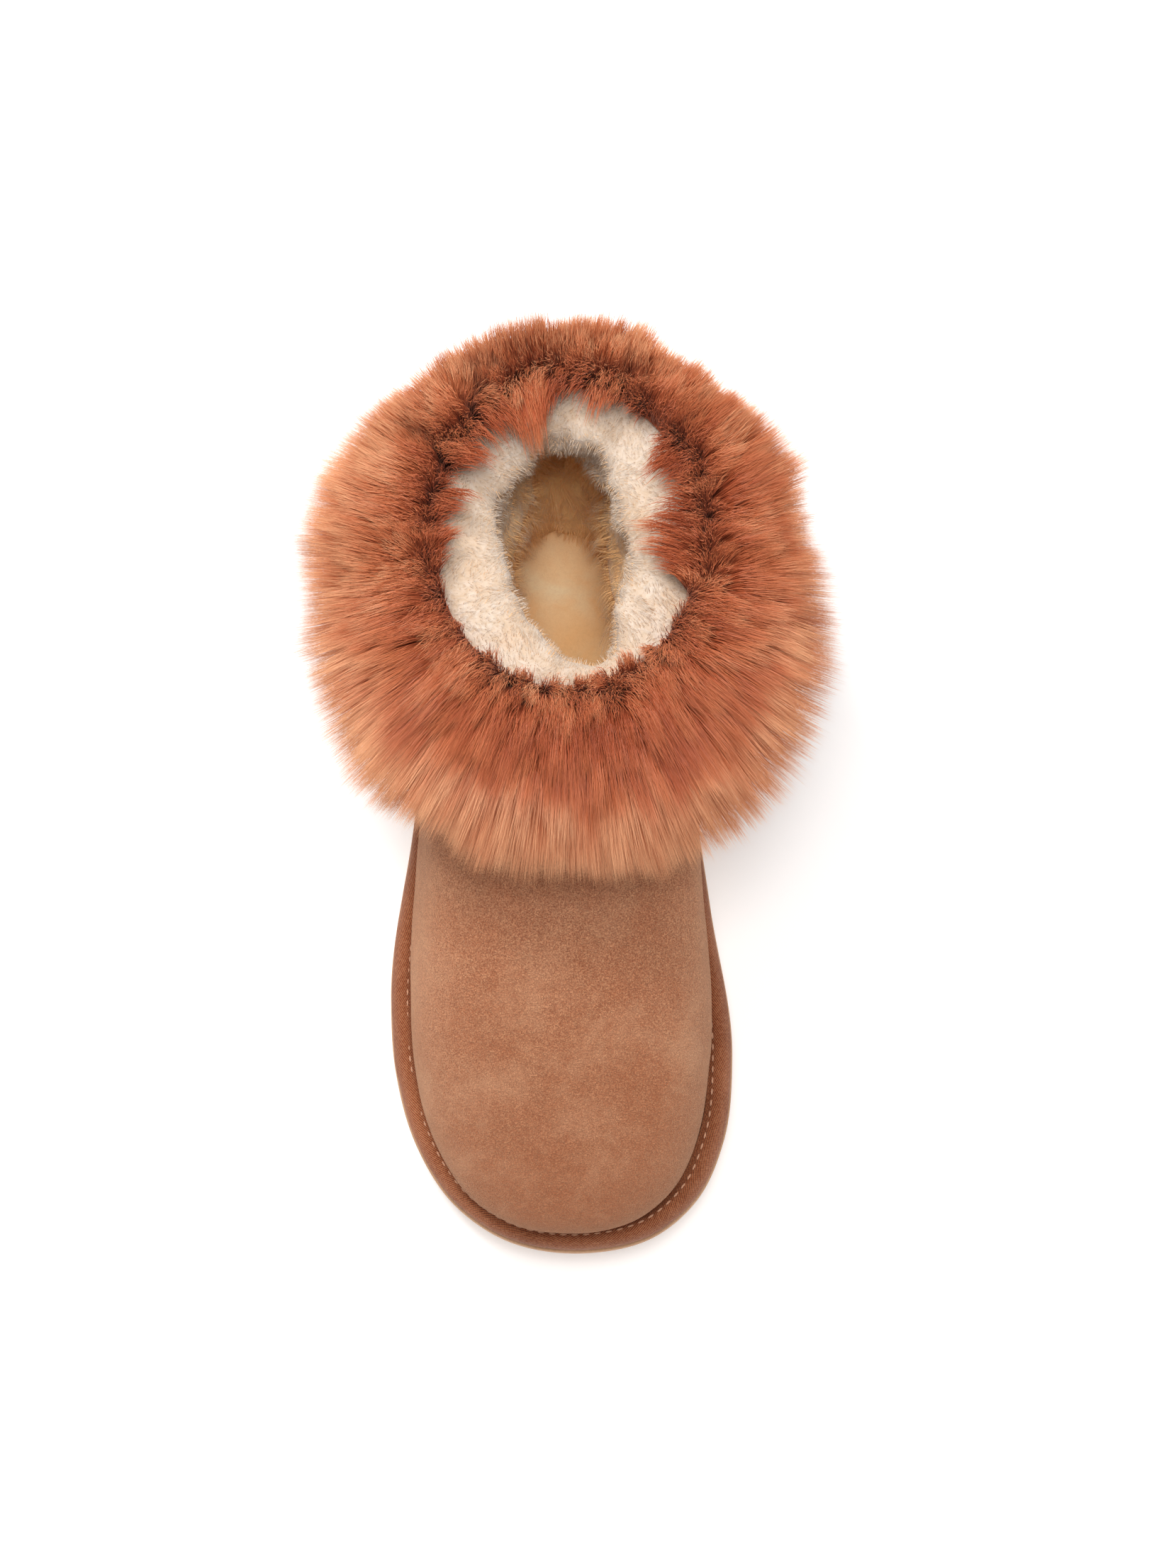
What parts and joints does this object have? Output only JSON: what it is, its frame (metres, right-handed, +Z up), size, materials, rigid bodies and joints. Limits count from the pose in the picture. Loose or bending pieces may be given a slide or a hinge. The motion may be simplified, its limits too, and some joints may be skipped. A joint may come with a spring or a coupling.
{
  "type": "ankle boot",
  "caption": "Right sheepskin ankle boot: suede outside and fleece inside, a deep fur cuff round the collar, a taped edge and a flat moulded sole.",
  "frame": {"origin": "on the floor, at the middle of the heel's flat spot", "axes": "+Z up; the toe points towards -Y; +X is the inner side of the foot, the big toe's side"},
  "size_m": [0.1514, 0.2553, 0.1405],
  "materials": {
    "foam_sole": "matt tan foam rubber",
    "edge_tape": "ribbed brown woven tape",
    "footbed_fleece": "pressed peach fleece",
    "suede": "chestnut suede with a short nap, wool side inwards",
    "fur": "long rust-brown sheepskin pile with paler tips"
  },
  "bodies": {
    "root": {"outsole": "foam_sole", "binding": "edge_tape", "insole": "footbed_fleece", "upper": "suede", "fur_cuff": "fur"}
  },
  "joints": []
}
